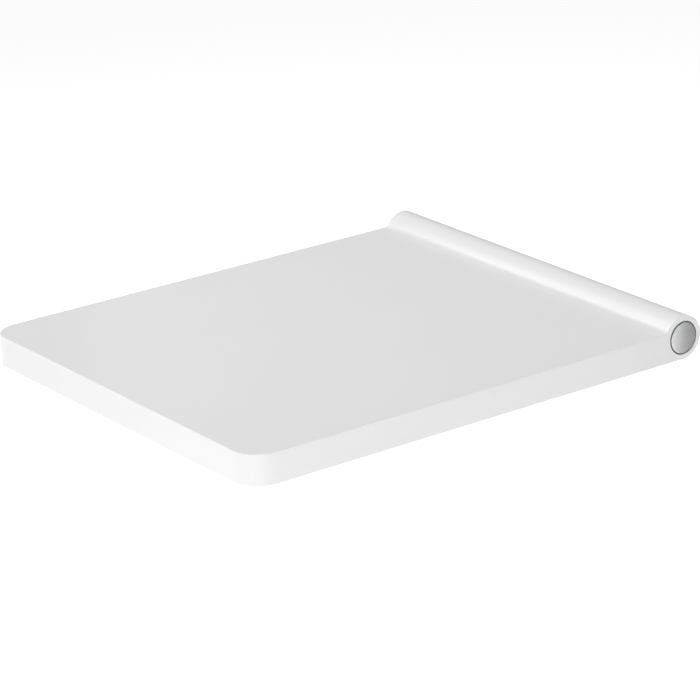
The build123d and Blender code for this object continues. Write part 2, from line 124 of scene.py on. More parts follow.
class Shape:
    """A mesh in the making, in millimetres, that ends as an object in metres."""

    def __init__(self) -> None:
        """Starts with nothing in it."""
        self.bm = bmesh.new()

    @classmethod
    def block(cls, low: Point, high: Point) -> "Shape":
        """A box between two corners.

        Args:
            low: The lowest corner.
            high: The highest corner.

        Returns:
            The new shape.
        """
        shape = cls()
        bmesh.ops.create_cube(shape.bm, size=1.0)
        size = Vector(high) - Vector(low)
        bmesh.ops.scale(shape.bm, vec=size, verts=shape.bm.verts)
        bmesh.ops.translate(shape.bm, vec=Vector(low) + size / 2, verts=shape.bm.verts)
        return shape

    @classmethod
    def rod(cls, start: Point, end: Point, radius: float, sides: int) -> "Shape":
        """A round or many-sided rod between two points.

        Args:
            start: Centre of the first end.
            end: Centre of the second end.
            radius: Its radius, at the corners when it is many-sided.
            sides: How many flats go round it.

        Returns:
            The new shape.
        """
        shape = cls()
        run = Vector(end) - Vector(start)
        turn = Along.Z.value.rotation_difference(run).to_matrix().to_4x4()
        bmesh.ops.create_cone(
            shape.bm,
            cap_ends=True,
            segments=sides,
            radius1=radius,
            radius2=radius,
            depth=run.length,
            matrix=Matrix.Translation(Vector(start) + run / 2) @ turn,
        )
        return shape

    @classmethod
    def turned(cls, outline: Outline, centre: Point, axis: Along, steps: int = 96) -> "Shape":
        """A shape turned about an axis from a half outline.

        Args:
            outline: Pairs of distance along the axis and radius, in order.
            centre: A point on the axis, from which the distances are counted.
            axis: The axis.
            steps: How many steps go round it.

        Returns:
            The new shape, closed wherever the outline meets the axis.
        """
        shape = cls()
        out = Along.Z.value if axis is not Along.Z else Along.X.value
        line = [shape.bm.verts.new(Vector(centre) + axis.value * a + out * r) for a, r in outline]
        for first, second in zip(line, line[1:]):
            shape.bm.edges.new((first, second))
        geom = shape.bm.verts[:] + shape.bm.edges[:]
        whole = {"angle": FULL_TURN, "steps": steps, "use_merge": True}
        bmesh.ops.spin(shape.bm, geom=geom, cent=centre, axis=axis.value, **whole)
        bmesh.ops.remove_doubles(shape.bm, verts=shape.bm.verts, dist=MERGE)
        return shape.outward()

    def outward(self) -> "Shape":
        """Points every face outwards."""
        bmesh.ops.recalc_face_normals(self.bm, faces=self.bm.faces)
        return self

    def draw_out(self, axis: Along, length: float) -> "Shape":
        """Draws the flat faces made so far out into a solid.

        Args:
            axis: The way they are drawn out.
            length: How far.

        Returns:
            This shape.
        """
        grown = bmesh.ops.extrude_face_region(self.bm, geom=self.bm.faces[:], use_keep_orig=True)
        bmesh.ops.translate(self.bm, vec=axis.value * length, verts=verts_in(grown["geom"]))
        return self.outward()

    def thicken(self, axis: Along, length: float) -> "Shape":
        """Fills the closed line drawn so far, and draws it out into a solid of some length."""
        bmesh.ops.contextual_create(self.bm, geom=self.bm.edges[:])
        return self.draw_out(axis, length)

    def start_line(self, point: Point) -> Vert:
        """Puts down the first point of a line."""
        return self.bm.verts.new(point)

    def run_on(self, last: Vert, points: Iterable[Point]) -> Vert:
        """Carries a line on through straight stretches.

        Args:
            last: The line's last vertex so far.
            points: Where it goes next.

        Returns:
            The line's new last vertex.
        """
        for point in points:
            made = bmesh.ops.extrude_vert_indiv(self.bm, verts=[last])
            last = made["verts"][0]
            last.co = point
        return last

    def curve_on(self, last: Vert, centre: Point, degrees: float, steps: int) -> Vert:
        """Carries a line on along an arc about an axis that runs along X.

        Args:
            last: The line's last vertex so far.
            centre: The arc's centre.
            degrees: How far round it goes.
            steps: How many stretches it has.

        Returns:
            The line's new last vertex.
        """
        turn = {"axis": Along.X.value, "angle": math.radians(degrees), "steps": steps}
        made = bmesh.ops.spin(self.bm, geom=[last], cent=centre, **turn)
        return verts_in(made["geom_last"])[0]

    def close_line(self, first: Vert, last: Vert) -> None:
        """Joins the two ends of a line."""
        self.bm.edges.new((last, first))

    def round_edges(self, edges: Iterable[Edge], radius: float, segments: int) -> "Shape":
        """Rounds some edges.

        Args:
            edges: The edges.
            radius: How far the rounding reaches from each edge.
            segments: How many strips make the rounding.

        Returns:
            This shape.
        """
        bmesh.ops.bevel(
            self.bm,
            geom=list(edges),
            offset=radius,
            offset_type="OFFSET",
            segments=segments,
            profile=0.5,
            affect="EDGES",
            material=-1,
            clamp_overlap=True,
        )
        return self

    def sharp_edges(self, degrees: float = SHARP_DEGREES) -> list[Edge]:
        """The edges where two faces meet at more than an angle."""
        seams = [edge for edge in self.bm.edges if len(edge.link_faces) == 2]
        return [edge for edge in seams if edge.calc_face_angle(0.0) > math.radians(degrees)]

    def soften(self, radius: float, segments: int, degrees: float = SHARP_DEGREES) -> "Shape":
        """Rounds every edge that is sharper than an angle."""
        return self.round_edges(self.sharp_edges(degrees), radius, segments)

    def edges_along(self, axis: Along) -> list[Edge]:
        """The edges that run along an axis."""
        runs = {e: (e.verts[0].co - e.verts[1].co).normalized() for e in self.bm.edges}
        return [e for e, run in runs.items() if abs(run.dot(axis.value)) > STRAIGHT]

    def copies(self, offsets: Sequence[Point]) -> "Shape":
        """Repeats the shape at several offsets, in place of itself.

        Args:
            offsets: Where each copy goes.

        Returns:
            This shape.
        """
        first = self.bm.verts[:] + self.bm.edges[:] + self.bm.faces[:]
        for offset in offsets[1:]:
            made = bmesh.ops.duplicate(self.bm, geom=first)["geom"]
            bmesh.ops.translate(self.bm, vec=offset, verts=verts_in(made))
        bmesh.ops.translate(self.bm, vec=offsets[0], verts=verts_in(first))
        return self

    def mirrored(self) -> "Shape":
        """A second shape that is this one on the other side of the seat.

        Returns:
            The other shape.
        """
        other = Shape()
        other.bm = self.bm.copy()
        bmesh.ops.scale(other.bm, vec=(-1, 1, 1), verts=other.bm.verts)
        bmesh.ops.reverse_faces(other.bm, faces=other.bm.faces)
        return other

    def on(self, side: Side) -> "Shape":
        """This shape, which is drawn on the right, on the side it is wanted."""
        return self.mirrored() if side is Side.LEFT else self

    def into_mesh(self, name: str) -> bpy.types.Mesh:
        """The shape's mesh data, which uses the shape up.

        Args:
            name: The mesh data's name.

        Returns:
            The mesh data.
        """
        mesh = bpy.data.meshes.new(name)
        self.bm.to_mesh(mesh)
        self.bm.free()
        return mesh

    def combined(self, others: Sequence["Shape"], way: Way) -> "Shape":
        """Cuts shapes out of this one or joins them to it.

        Args:
            others: The shapes, which are used up.
            way: Whether they are cut out or joined.

        Returns:
            This shape.
        """
        body = put("body", self.into_mesh("body"))
        tools = [put("tool", other.into_mesh("tool")) for other in others]
        for tool in tools:
            step = body.modifiers.new("step", "BOOLEAN")
            step.operation, step.object, step.solver = way.value, tool, "EXACT"
        seen = body.evaluated_get(bpy.context.evaluated_depsgraph_get())
        self.bm = bmesh.new()
        self.bm.from_mesh(seen.to_mesh())
        seen.to_mesh_clear()
        for held in (body, *tools):
            mesh = held.data
            bpy.data.objects.remove(held)
            bpy.data.meshes.remove(mesh)
        bmesh.ops.remove_doubles(self.bm, verts=self.bm.verts, dist=MERGE)
        return self

    def cut(self, *others: "Shape") -> "Shape":
        """Cuts other shapes out of this one."""
        return self.combined(others, Way.CUT)

    def joined(self, *others: "Shape") -> "Shape":
        """Joins other shapes to this one."""
        return self.combined(others, Way.JOIN)

    def finish(
        self, name: str, look: "Finish", body: str, replaces: Sequence[str] = (), slot: str = ""
    ) -> Piece:
        """Makes the finished piece.

        Args:
            name: The piece's name.
            look: Its finish.
            body: The CAD body it moves with.
            replaces: The CAD nodes it stands for.
            slot: A material slot's name, which is not used.

        Returns:
            The piece's object, at the origin, unturned and unscaled.
        """
        bmesh.ops.scale(self.bm, vec=(MM, MM, MM), verts=self.bm.verts)
        for face in self.bm.faces:
            face.smooth = True
        mesh = self.into_mesh(name)
        mesh.set_sharp_from_angle(angle=math.radians(SHADE_DEGREES))
        mesh.materials.append(look.material())
        piece = put(name, mesh)
        even = piece.modifiers.new("even_shading", "WEIGHTED_NORMAL")
        even.keep_sharp = True
        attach(piece, body)
        if replaces:
            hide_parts(*replaces)
        return piece


# ---------------------------------------------------------------- finishes


NOISE_MIDDLE = (0.3, 0.7)  # nearly all of a noise lies between these
MIX_FACTOR, MIX_FIRST, MIX_SECOND, MIX_COLOUR = 0, 6, 7, 2  # a colour mix's sockets


@dataclass(frozen=True)
class Clouds:
    """A cloudy noise.

    Attributes:
        scale: Clouds per metre.
        detail: How many finer layers it has.
        rough: How strong those are.
    """

    scale: float
    detail: float = 2.0
    rough: float = 0.5


@dataclass(frozen=True)
class Bump:
    """How far a pattern stands up.

    Attributes:
        strength: How strong the bump is.
        depth: What a height of 1 stands for, in metres.
    """

    strength: float
    depth: float


class Bench:
    """Lays out and links the shader nodes of one material."""

    def __init__(self, name: str) -> None:
        """Starts a material with a Principled shader.

        Args:
            name: The material's name.
        """
        self.material = bpy.data.materials.new(name)
        self.material.use_nodes = True
        self.nodes, self.links = self.material.node_tree.nodes, self.material.node_tree.links
        self.shader = self.nodes["Principled BSDF"]

    def set(self, **values: float | tuple[float, ...]) -> None:
        """Sets shader sockets to constants, with underscores for the spaces in their names."""
        for name, value in values.items():
            self.shader.inputs[name.replace("_", " ")].default_value = value

    def feed(self, socket: Socket, name: str) -> None:
        """Links a socket to one of the shader's."""
        self.links.new(socket, self.shader.inputs[name])

    def place(self, scale: Point = (1, 1, 1), centre: Point = (0, 0, 0)) -> Socket:
        """Object coordinates, centred and stretched.

        Args:
            scale: How much each axis is stretched.
            centre: The point that becomes the pattern's centre, in metres.

        Returns:
            The coordinates' socket.
        """
        source = self.nodes.new("ShaderNodeTexCoord")
        shift = self.nodes.new("ShaderNodeMapping")
        shift.inputs["Scale"].default_value = scale
        shift.inputs["Location"].default_value = [-c * s for c, s in zip(centre, scale)]
        self.links.new(source.outputs["Object"], shift.inputs["Vector"])
        return shift.outputs["Vector"]

    def noise(self, where: Socket, clouds: Clouds) -> Socket:
        """Cloudy noise.

        Args:
            where: Coordinates.
            clouds: Its clouds.

        Returns:
            The noise, from 0 to 1.
        """
        node = self.nodes.new("ShaderNodeTexNoise")
        node.inputs["Scale"].default_value = clouds.scale
        node.inputs["Detail"].default_value = clouds.detail
        node.inputs["Roughness"].default_value = clouds.rough
        self.links.new(where, node.inputs["Vector"])
        return node.outputs["Fac"]

    def rings(self, where: Socket, scale: float, axis: Along, wobble: float) -> Socket:
        """Fine rings about an axis.

        Args:
            where: Coordinates centred on the axis.
            scale: How close the rings are.
            axis: The axis.
            wobble: How uneven they are.

        Returns:
            The rings, from 0 to 1.
        """
        node = self.nodes.new("ShaderNodeTexWave")
        node.wave_type, node.rings_direction = "RINGS", axis.name
        node.inputs["Scale"].default_value = scale
        node.inputs["Distortion"].default_value = wobble
        node.inputs["Detail"].default_value = 2.0
        self.links.new(where, node.inputs["Vector"])
        return node.outputs["Fac"]

    def grains(self, where: Socket, scale: float) -> Socket:
        """Small cells, as in a moulded grain.

        Args:
            where: Coordinates.
            scale: Cells per metre.

        Returns:
            The cells, from 0 in the middle of each.
        """
        node = self.nodes.new("ShaderNodeTexVoronoi")
        node.feature = "SMOOTH_F1"
        node.inputs["Scale"].default_value = scale
        self.links.new(where, node.inputs["Vector"])
        return node.outputs["Distance"]

    def spread(self, value: Socket, low: float, high: float) -> Socket:
        """Stretches the middle of a noise over a range.

        Args:
            value: The noise.
            low: What it becomes at the lower end of the middle.
            high: What it becomes at the upper end.

        Returns:
            The new value.
        """
        node = self.nodes.new("ShaderNodeMapRange")
        ends = dict(zip(("From Min", "From Max", "To Min", "To Max"), (*NOISE_MIDDLE, low, high)))
        for name, end in ends.items():
            node.inputs[name].default_value = end
        self.links.new(value, node.inputs["Value"])
        return node.outputs["Result"]

    def blend(self, value: Socket, first: Colour, second: Colour) -> Socket:
        """A colour between two, by a value.

        Args:
            value: The value, whose middle is stretched to run from 0 to 1.
            first: The colour at 0.
            second: The colour at 1.

        Returns:
            The colour's socket.
        """
        node = self.nodes.new("ShaderNodeMix")
        node.data_type = "RGBA"
        node.inputs[MIX_FIRST].default_value = (*first, 1)
        node.inputs[MIX_SECOND].default_value = (*second, 1)
        self.links.new(self.spread(value, 0, 1), node.inputs[MIX_FACTOR])
        return node.outputs[MIX_COLOUR]

    def relief(self, height: Socket, bump: Bump, under: Socket | None = None) -> Socket:
        """Bump from a height.

        Args:
            height: The height, from 0 to 1.
            bump: How far it stands up.
            under: A bump that this one lies on.

        Returns:
            The normal's socket.
        """
        node = self.nodes.new("ShaderNodeBump")
        node.inputs["Strength"].default_value = bump.strength
        node.inputs["Distance"].default_value = bump.depth
        self.links.new(height, node.inputs["Height"])
        if under is not None:
            self.links.new(under, node.inputs["Normal"])
        return node.outputs["Normal"]


@dataclass(frozen=True)
class Finish:
    """A finish. Each kind lays out its own nodes, and has its own patterns.

    Attributes:
        name: The material's name.
        light: The lighter of its two tones.
        dark: The darker.
        rough: The lowest and the highest roughness.
        tone: The clouds in its tone.
        sheen: The clouds in its roughness.
        bump: How far its finest pattern stands up.
    """

    name: str
    light: Colour
    dark: Colour
    rough: Pair
    tone: Clouds = Clouds(25, 4)
    sheen: Clouds = Clouds(300, 3)
    bump: Bump = Bump(0.2, 0.00003)

    def material(self) -> bpy.types.Material:
        """The finish's material, made once.

        Returns:
            The material.
        """
        known = bpy.data.materials.get(self.name)
        if known is None:
            bench = Bench(self.name)
            self.lay_out(bench)
            known = bench.material
        return known

    def coat(self, bench: Bench, tone: Socket, sheen: Socket, relief: Socket) -> None:
        """Feeds the shader its tone, its roughness and its relief.

        Args:
            bench: Where the nodes are laid out.
            tone: The pattern that goes from the dark tone to the light one.
            sheen: The pattern of the roughness.
            relief: The normal.
        """
        bench.feed(bench.blend(tone, self.dark, self.light), "Base Color")
        bench.feed(bench.spread(sheen, *self.rough), "Roughness")
        bench.feed(relief, "Normal")

    def lay_out(self, bench: Bench) -> None:
        """Lays out the nodes. Each kind of finish has its own."""
        raise NotImplementedError


@dataclass(frozen=True)
class SatinMoulding(Finish):
    """Satin moulded plastic with a faint orange peel.

    Attributes:
        swell: The broad part of the peel.
        swell_bump: How far that stands up.
        pores: The fine part of the peel.
        ior: The plastic's index of refraction.
    """

    tone: Clouds = Clouds(9, 3)
    sheen: Clouds = Clouds(40, 2)
    bump: Bump = Bump(0.12, 0.00003)
    swell: Clouds = Clouds(260, 2)
    swell_bump: Bump = Bump(0.05, 0.00003)
    pores: Clouds = Clouds(1500, 3)
    ior: float = 1.5

    def lay_out(self, bench: Bench) -> None:
        """Broad tone, finer sheen and two sizes of peel.

        Args:
            bench: Where the nodes are laid out.
        """
        where = bench.place()
        swell = bench.relief(bench.noise(where, self.swell), self.swell_bump)
        peel = bench.relief(bench.noise(where, self.pores), self.bump, swell)
        self.coat(bench, bench.noise(where, self.tone), bench.noise(where, self.sheen), peel)
        bench.set(IOR=self.ior)


@dataclass(frozen=True)
class GrainedMoulding(Finish):
    """Moulded plastic with a leather-like spark grain, for faces nobody sits on.

    Attributes:
        cells: Grain cells per metre.
    """

    tone: Clouds = Clouds(14, 4)
    bump: Bump = Bump(0.6, 0.0001)
    cells: float = 900.0

    def lay_out(self, bench: Bench) -> None:
        """Grain as relief, under clouds of tone and sheen.

        Args:
            bench: Where the nodes are laid out.
        """
        where = bench.place()
        grain = bench.relief(bench.grains(where, self.cells), self.bump)
        self.coat(bench, bench.noise(where, self.tone), bench.noise(where, self.sheen), grain)


@dataclass(frozen=True)
class TurnedMetal(Finish):
    """Satin metal faced on a lathe, with fine rings about the hinge axis.

    Attributes:
        pitch: How close the rings are.
        wobble: How uneven they are.
    """

    sheen: Clouds = Clouds(700, 3)
    bump: Bump = Bump(0.12, 0.00002)
    pitch: float = 900.0
    wobble: float = 1.5

    def lay_out(self, bench: Bench) -> None:
        """Fine uneven rings in tone and relief, under a cloudy sheen.

        Args:
            bench: Where the nodes are laid out.
        """
        where = bench.place(centre=(0, HINGE_Y * MM, 0))
        rings = bench.rings(where, self.pitch, Along.X, self.wobble)
        self.coat(bench, rings, bench.noise(where, self.sheen), bench.relief(rings, self.bump))
        bench.set(Metallic=1.0)


@dataclass(frozen=True)
class BrushedMetal(Finish):
    """Metal brushed along one axis.

    Attributes:
        along: The way it is brushed.
        stretch: How much the scratches are drawn out that way: low for long ones.
    """

    sheen: Clouds = Clouds(2600, 4, 0.7)
    bump: Bump = Bump(0.22, 0.00003)
    along: Along = Along.X
    stretch: float = 0.02

    def lay_out(self, bench: Bench) -> None:
        """Long scratches over a cloudy tone.

        Args:
            bench: Where the nodes are laid out.
        """
        scale = [self.stretch if part else 1.0 for part in self.along.value]
        scratches = bench.noise(bench.place(scale=scale), self.sheen)
        clouds = bench.noise(bench.place(), self.tone)
        self.coat(bench, clouds, scratches, bench.relief(scratches, self.bump))
        bench.set(Metallic=1.0)


@dataclass(frozen=True)
class PlainMetal(Finish):
    """Pickled or pressed metal with a cloudy, faintly pitted face.

    Attributes:
        pits: The small pits.
    """

    tone: Clouds = Clouds(90, 5, 0.6)
    sheen: Clouds = Clouds(240, 4)
    bump: Bump = Bump(0.2, 0.00004)
    pits: Clouds = Clouds(1800, 3)

    def lay_out(self, bench: Bench) -> None:
        """Clouds of tone and roughness, and small pits.

        Args:
            bench: Where the nodes are laid out.
        """
        where = bench.place()
        pits = bench.relief(bench.noise(where, self.pits), self.bump)
        self.coat(bench, bench.noise(where, self.tone), bench.noise(where, self.sheen), pits)
        bench.set(Metallic=1.0)


@dataclass(frozen=True)
class PressedRubber(Finish):
    """Matt rubber with a fine bloom.

    Attributes:
        tooth: Its fine tooth.
    """

    tone: Clouds = Clouds(140, 5, 0.65)
    sheen: Clouds = Clouds(500, 3)
    bump: Bump = Bump(0.4, 0.00006)
    tooth: Clouds = Clouds(2600, 2)

    def lay_out(self, bench: Bench) -> None:
        """A bloom in patches over a fine tooth.

        Args:
            bench: Where the nodes are laid out.
        """
        where = bench.place()
        tooth = bench.relief(bench.noise(where, self.tooth), self.bump)
        self.coat(bench, bench.noise(where, self.tone), bench.noise(where, self.sheen), tooth)


WHITE_SHELL = SatinMoulding("white_shell", (0.80, 0.80, 0.798), (0.790, 0.790, 0.788), (0.16, 0.18))
# Grey darker than the white shell: painted shade, which keeps the cover from burning out where the
# softboxes light it with the seat folded up
PAINTED_SHADE_COVER = GrainedMoulding("grey_cover", (0.56, 0.56, 0.555), (0.53, 0.53, 0.525), (0.5, 0.62))
CAP_FACE = TurnedMetal("cap_face", (0.74, 0.74, 0.745), (0.68, 0.68, 0.685), (0.20, 0.26))
PLATE_STEEL = BrushedMetal("plate_steel", (0.50, 0.50, 0.505), (0.43, 0.43, 0.435), (0.29, 0.42))
LUG_STEEL = BrushedMetal(
    "lug_steel", (0.48, 0.48, 0.485), (0.41, 0.41, 0.415), (0.28, 0.44), along=Along.Y
)
WELD_STEEL = PlainMetal("weld_steel", (0.52, 0.51, 0.50), (0.36, 0.34, 0.32), (0.30, 0.48))
TUBE_STEEL = BrushedMetal(
    "tube_steel", (0.55, 0.56, 0.57), (0.47, 0.48, 0.49), (0.32, 0.48), along=Along.Y
)
BAR_STEEL = BrushedMetal("bar_steel", (0.55, 0.56, 0.57), (0.47, 0.48, 0.49), (0.32, 0.48))
FORGED_STEEL = PlainMetal("forged_steel", (0.56, 0.56, 0.56), (0.44, 0.44, 0.45), (0.34, 0.5))
SCREW_STEEL = PlainMetal("screw_steel", (0.66, 0.66, 0.66), (0.56, 0.56, 0.57), (0.28, 0.36))
STOP_RUBBER = PressedRubber("stop_rubber", (0.045, 0.045, 0.047), (0.022, 0.022, 0.024), (0.62, 0.8))
# Near black: the plug's rim round each cap disc makes the dark ring there
PLUG_PLASTIC = GrainedMoulding("plug_plastic", (0.05, 0.05, 0.053), (0.03, 0.03, 0.032), (0.45, 0.6))
BUSH_PLASTIC = GrainedMoulding("bush_plastic", (0.66, 0.62, 0.50), (0.58, 0.54, 0.43), (0.4, 0.55))


# ---------------------------------------------------------------- the seat


@dataclass
class SeatShell:
    """The white moulding: seat plate, hollow curve and hinge barrel. Sizes in millimetres."""

    half_width: float = 190.0
    front_y: float = -465.0
    thickness: float = 26.6
    barrel_radius: float = 19.0
    hollow_radius: float = 6.0
    corner_radius: float = 24.0
    edge_radius: float = 0.8
    side_wall: float = 4.0
    cavity_back_y: float = -52.0
    cavity_top_z: float = 4.0
    bore_radius: float = 14.45
    mouth_flare: float = 0.2
    knuckle_room: Pair = (88.2, 116.8)  # from and to along X, as in each other room
    passage_top_z: float = 1.0
    slot_room: Pair = (98.8, 111.2)
    slot_degrees: Pair = (-97.0, 60.0)
    slot_reach: Pair = (2.0, 3.0)  # what its cutter reaches into the bore, and out of the barrel
    barrel_steps: int = 78
    hollow_steps: int = 16
    slot_steps: int = 40

    @property
    def bottom_z(self) -> float:
        """The level of the flat underside."""
        return -self.barrel_radius

    @property
    def top_z(self) -> float:
        """The level of the sitting face."""
        return self.bottom_z + self.thickness

    def outside(self) -> Shape:
        """The outside: a side outline drawn out along the hinge, with corners and edges rounded.

        Returns:
            The solid outside shape.
        """
        shape, x = Shape(), -self.half_width
        reach = self.barrel_radius + self.hollow_radius
        hollow_z = self.top_z + self.hollow_radius
        hollow_y = -math.sqrt(reach**2 - hollow_z**2)
        meet = math.degrees(math.atan2(hollow_z, hollow_y))
        first = shape.start_line((x, HINGE_Y, self.bottom_z))
        last = shape.curve_on(first, (x, HINGE_Y, 0), 90 + meet, self.barrel_steps)
        hollow = (x, HINGE_Y + hollow_y, hollow_z)
        last = shape.curve_on(last, hollow, 90 - meet, self.hollow_steps)
        last = shape.run_on(last, [(x, self.front_y, self.top_z), (x, self.front_y, self.bottom_z)])
        shape.close_line(first, last)
        shape.thicken(Along.X, 2 * self.half_width)
        shape.round_edges(self.front_corners(shape), self.corner_radius, 20)
        return shape.soften(self.edge_radius, 5)

    def front_corners(self, shape: Shape) -> list[Edge]:
        """The upright edges at the front of a shape, in the seat's front half."""
        upright = shape.edges_along(Along.Z)
        return [edge for edge in upright if edge.verts[0].co.y < self.front_y / 2]

    def cavity(self, inset: float, back_y: float, low_z: float, high_z: float) -> Shape:
        """A block that follows the seat's plan, set in from its edge.

        Args:
            inset: How far in it is set.
            back_y: Where it ends at the back.
            low_z: Its lowest level.
            high_z: Its highest level.

        Returns:
            The new shape.
        """
        side, front = self.half_width - inset, self.front_y + inset
        shape = Shape.block((-side, front, low_z), (side, back_y, high_z))
        return shape.round_edges(self.front_corners(shape), self.corner_radius - inset, 12)

    def bore(self) -> Shape:
        """The bore through the barrel, with eased mouths.

        Returns:
            The shape to cut out.
        """
        r, w, f = self.bore_radius, self.half_width, self.mouth_flare
        end = w + REACH
        half = [(0, r), (w - f, r), (w, r + f), (end, r + 2 * f), (end, 0)]
        outline = [(-a, b) for a, b in reversed(half)] + half[1:]
        return Shape.turned(outline, (0, HINGE_Y, 0), Along.X)

    def slot(self) -> Shape:
        """The slot in the right half of the barrel that the lug moves in.

        Returns:
            The shape to cut out.
        """
        shape, (x0, x1) = Shape(), self.slot_room
        start, end = map(math.radians, self.slot_degrees)
        inward, outward = self.slot_reach
        radii = (self.bore_radius - inward, self.barrel_radius + outward)
        near, far = [(x0, HINGE_Y + r * math.cos(start), r * math.sin(start)) for r in radii]
        shape.run_on(shape.start_line(near), [far])
        bmesh.ops.spin(
            shape.bm,
            geom=shape.bm.verts[:] + shape.bm.edges[:],
            cent=(x0, HINGE_Y, 0),
            axis=Along.X.value,
            angle=end - start,
            steps=self.slot_steps,
        )
        return shape.draw_out(Along.X, x1 - x0)

    def openings(self) -> list[Shape]:
        """The room for each knuckle: a pocket under the barrel and a passage to the frame.

        Returns:
            The shapes to cut out, with the slots.
        """
        (x0, x1), low = self.knuckle_room, self.bottom_z - REACH
        front, back = HINGE_Y - self.bore_radius, HINGE_Y + self.bore_radius
        pocket = Shape.block((x0, front, low), (x1, back, 0.0))
        end = (x1, front + REACH, self.passage_top_z)
        passage = Shape.block((x0, self.cavity_back_y - REACH, low), end)
        right = [pocket, passage, self.slot()]
        return right + [shape.mirrored() for shape in right]

    def build(self) -> Piece:
        """The finished moulding.

        Returns:
            Its object.
        """
        low, high = self.bottom_z - REACH, self.cavity_top_z
        room = self.cavity(self.side_wall, self.cavity_back_y, low, high)
        shape = self.outside().cut(room, self.bore(), *self.openings())
        return shape.finish("seat_shell_body", WHITE_SHELL, SEAT, ["seat_shell"], "shell_white")


@dataclass(frozen=True)
class CoverScrew:
    """A countersunk screw with a hexagon socket, its point up. Sizes in millimetres."""

    head_radius: float = 4.1
    head_depth: float = 2.0
    sunk: float = 0.1
    ease: float = 0.2
    shank_radius: float = 1.95
    length: float = 14.0
    point: Pair = (0.8, 0.75)  # length, and how much it narrows
    socket_radius: float = 1.45
    socket_depth: float = 1.3

    def shape(self) -> Shape:
        """The screw, with its head's face on the level of Z = 0.

        Returns:
            The solid screw.
        """
        head, shank = self.head_radius, self.shank_radius
        taper, narrowing = self.point
        outline = [
            (self.sunk, 0),
            (self.sunk, head - self.ease),
            (self.sunk + self.ease, head),
            (self.head_depth, shank),
            (self.length - taper, shank),
            (self.length, shank - narrowing),
            (self.length, 0),
        ]
        low, high = (0, 0, -REACH / 2), (0, 0, self.socket_depth)
        socket = Shape.rod(low, high, self.socket_radius, 6)
        return Shape.turned(outline, (0, 0, 0), Along.Z, 32).cut(socket)


@dataclass
class UndersideCover:
    """The cover let into the underside, with its screws. Sizes in millimetres."""

    shell: SeatShell
    gap: float = 0.3
    thickness: float = 3.0
    edge: float = 0.5
    tab_back_y: float = -45.0
    tab_overlap: float = 2.0
    tab_step: float = 0.05
    tab_room: Pair = (88.5, 116.5)
    foot_y: Pair = (-77.0, -56.0)
    foot_top_z: float = -12.0
    groove_inset: float = 8.0
    groove_width: float = 2.0
    groove_depth: float = 0.7
    sink_radii: Pair = (4.5, 2.2)  # at the face, and of the hole
    sink_rise: float = 0.3
    screw_x: tuple[float, ...] = (-170.0, 0.0, 170.0)
    screw_y: tuple[float, ...] = (-70.0, -214.0, -445.0)
    screw: CoverScrew = CoverScrew()

    @property
    def screw_places(self) -> list[Point]:
        """Where each screw's head lies, level with the underside."""
        return [(x, y, self.shell.bottom_z) for x in self.screw_x for y in self.screw_y]

    def groove(self, shape: Shape) -> None:
        """Sinks a shallow line into the cover's face, a little way in from its edge.

        Args:
            shape: The plain cover.
        """
        face = min(shape.bm.faces, key=lambda f: f.calc_center_median().z)
        for width in (self.groove_inset, self.groove_width):
            made = bmesh.ops.inset_region(
                shape.bm, faces=[face], thickness=width, use_even_offset=True
            )
        ring = made["faces"]
        sunk = bmesh.ops.extrude_face_region(shape.bm, geom=ring)
        verts = verts_in(sunk["geom"])
        bmesh.ops.translate(shape.bm, vec=(0, 0, self.groove_depth), verts=verts)
        bmesh.ops.delete(shape.bm, geom=ring, context="FACES_ONLY")
        shape.outward()

    def cover(self) -> Piece:
        """The cover itself, with countersunk holes, rear tabs and feet over the stop pads.

        Returns:
            Its object.
        """
        low, high = self.shell.bottom_z, self.shell.bottom_z + self.thickness
        back = self.shell.cavity_back_y - self.gap
        shape = self.shell.cavity(self.shell.side_wall + self.gap, back, low, high)
        shape.soften(self.edge, 2)
        self.groove(shape)
        x0, x1 = self.tab_room
        start = (x0, back - self.tab_overlap, low + self.tab_step)
        tab = Shape.block(start, (x1, self.tab_back_y, high))
        foot_front, foot_back = self.foot_y
        foot = Shape.block((x0, foot_front, high - REACH), (x1, foot_back, self.foot_top_z))
        shape.joined(tab.mirrored(), foot.mirrored(), tab, foot)
        wide, narrow = self.sink_radii
        above, through = self.sink_rise, 2 * self.thickness
        cone = [(-above, 0), (-above, wide + above), (self.screw.head_depth, narrow)]
        hole = [(through, narrow), (through, 0)]
        sinks = Shape.turned(cone + hole, (0, 0, 0), Along.Z, 32)
        shape.cut(sinks.copies(self.screw_places))
        # the cover's grey is painted shade
        return shape.finish(
            "underside_cover_body", PAINTED_SHADE_COVER, SEAT, ["underside_cover"], "cover_white"
        )

    def screws(self) -> Piece:
        """All of its screws, as one piece."""
        screws = self.screw.shape().copies(self.screw_places)
        return screws.finish(
            "cover_screw_set", SCREW_STEEL, SEAT, ["cover_screws"], "fastener_steel"
        )


